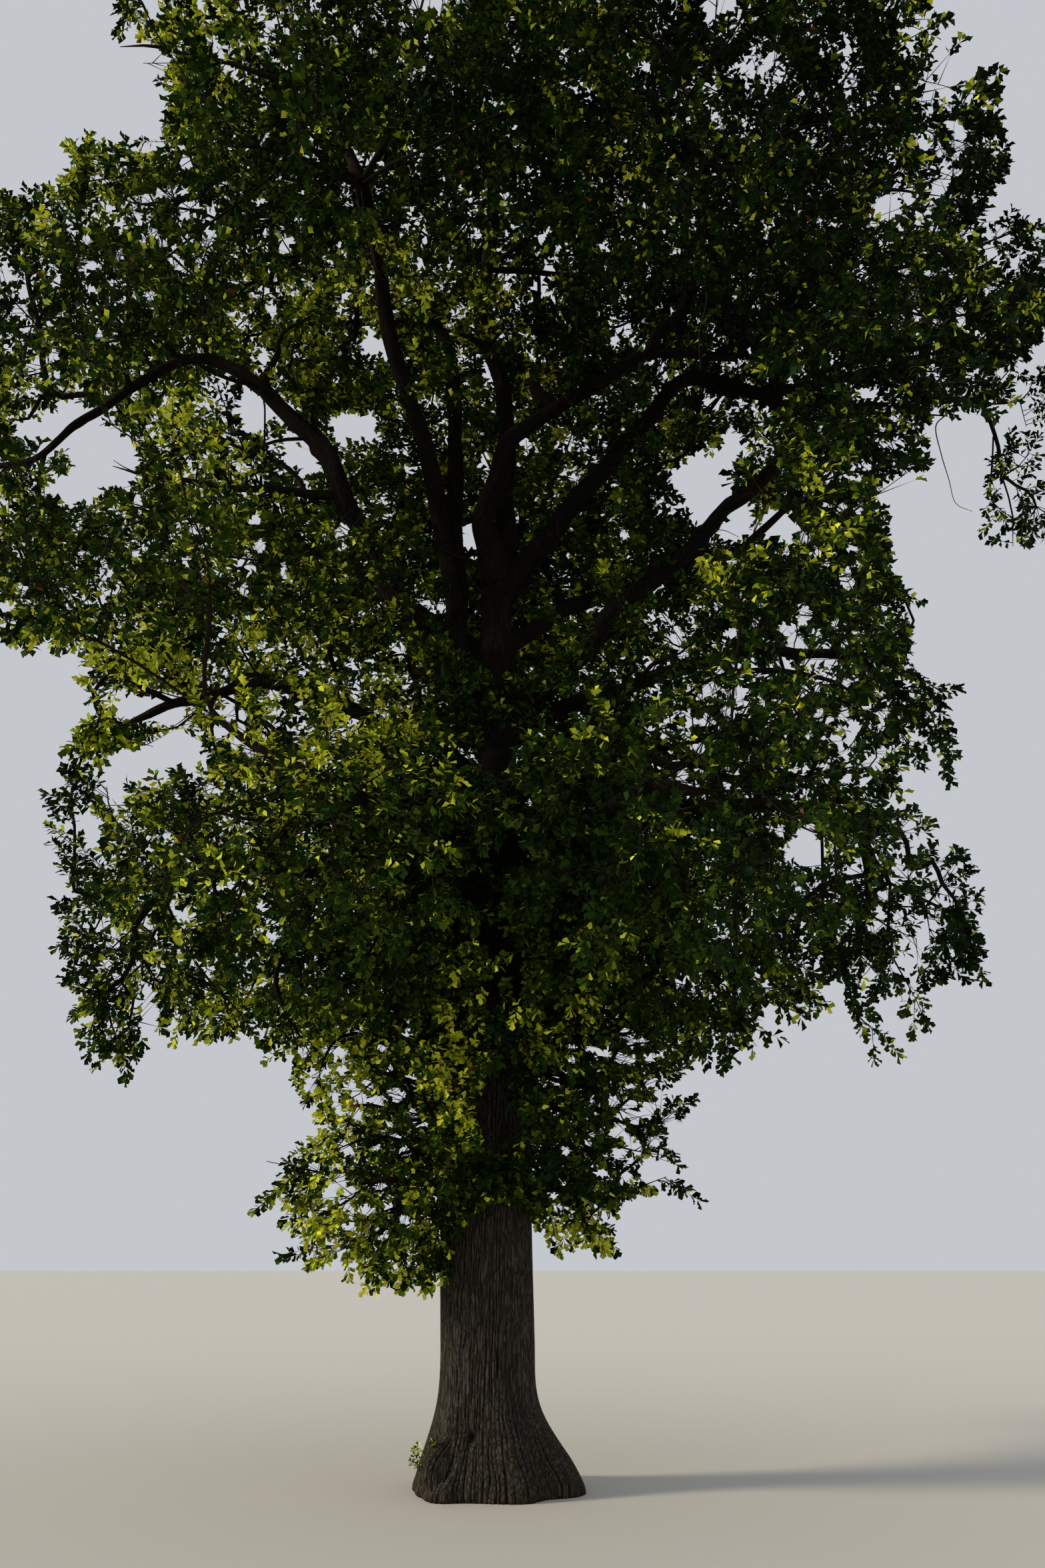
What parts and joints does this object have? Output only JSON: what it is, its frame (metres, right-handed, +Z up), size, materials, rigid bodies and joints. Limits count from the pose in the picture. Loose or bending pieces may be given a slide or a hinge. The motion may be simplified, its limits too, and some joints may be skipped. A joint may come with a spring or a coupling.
{
  "type": "oak tree",
  "caption": "Whole mature open-grown oak in leaf: a flared, fissured trunk, spreading tapering boughs and separate masses of foliage round a broad rounded crown, rooted in level ground.",
  "frame": {"origin": "middle of the flat cut under the trunk, at ground level, on the trunk's axis", "axes": "+Z up along the trunk, +Y away from the side that the picture shows, +X to that side's right"},
  "size_m": [14.7953, 13.5712, 18.6079],
  "materials": {
    "bark": "deep vertical fissures and ridges in grey-brown bark, dry and matt",
    "foliage": "lobed leaves in sprays, dull green above and paler yellow-green beneath, a few rusty brown"
  },
  "bodies": {
    "root": {"trunk": "bark", "leader_top": "bark", "leader_left": "bark", "leader_right": "bark", "leader_centre": "bark", "bough_left_great": "bark", "bough_left_outer": "bark", "bough_right_great": "bark", "bough_right_level": "bark", "bough_right_low": "bark", "bough_left_mid": "bark", "bough_left_low": "bark", "bough_front_left_low": "bark", "bough_front_right_low": "bark", "bough_back_left_low": "bark", "bough_back_right_low": "bark", "bough_front_left_high": "bark", "bough_front_right_high": "bark", "bough_back_left_mid": "bark", "bough_back_right_mid": "bark", "bough_back_left_high": "bark", "bough_back_right_high": "bark", "bough_back_high": "bark", "foliage_low_left": "foliage", "foliage_low_right": "foliage", "foliage_low_back": "foliage", "foliage_skirt_left": "foliage", "foliage_skirt_left_inner": "foliage", "foliage_skirt_right": "foliage", "foliage_skirt_right_inner": "foliage", "foliage_skirt_front_left": "foliage", "foliage_skirt_front_right": "foliage", "foliage_skirt_back_left": "foliage", "foliage_skirt_back": "foliage", "foliage_skirt_back_right": "foliage", "foliage_mid_left": "foliage", "foliage_mid_left_outer": "foliage", "foliage_mid_left_small": "foliage", "foliage_mid_right": "foliage", "foliage_mid_right_upper": "foliage", "foliage_mid_right_hanging": "foliage", "foliage_mid_back_left": "foliage", "foliage_mid_back": "foliage", "foliage_mid_back_right": "foliage", "foliage_high_left": "foliage", "foliage_high_side_left": "foliage", "foliage_high_front_left": "foliage", "foliage_high_front_right": "foliage", "foliage_high_side_right": "foliage", "foliage_high_right": "foliage", "foliage_high_right_inner": "foliage", "foliage_high_back_right": "foliage", "foliage_high_back": "foliage", "foliage_high_back_left": "foliage", "foliage_top_left": "foliage", "foliage_top_front": "foliage", "foliage_top_right": "foliage", "foliage_top_back_right": "foliage", "foliage_top_back_left": "foliage", "foliage_top_crown": "foliage"}
  },
  "joints": []
}
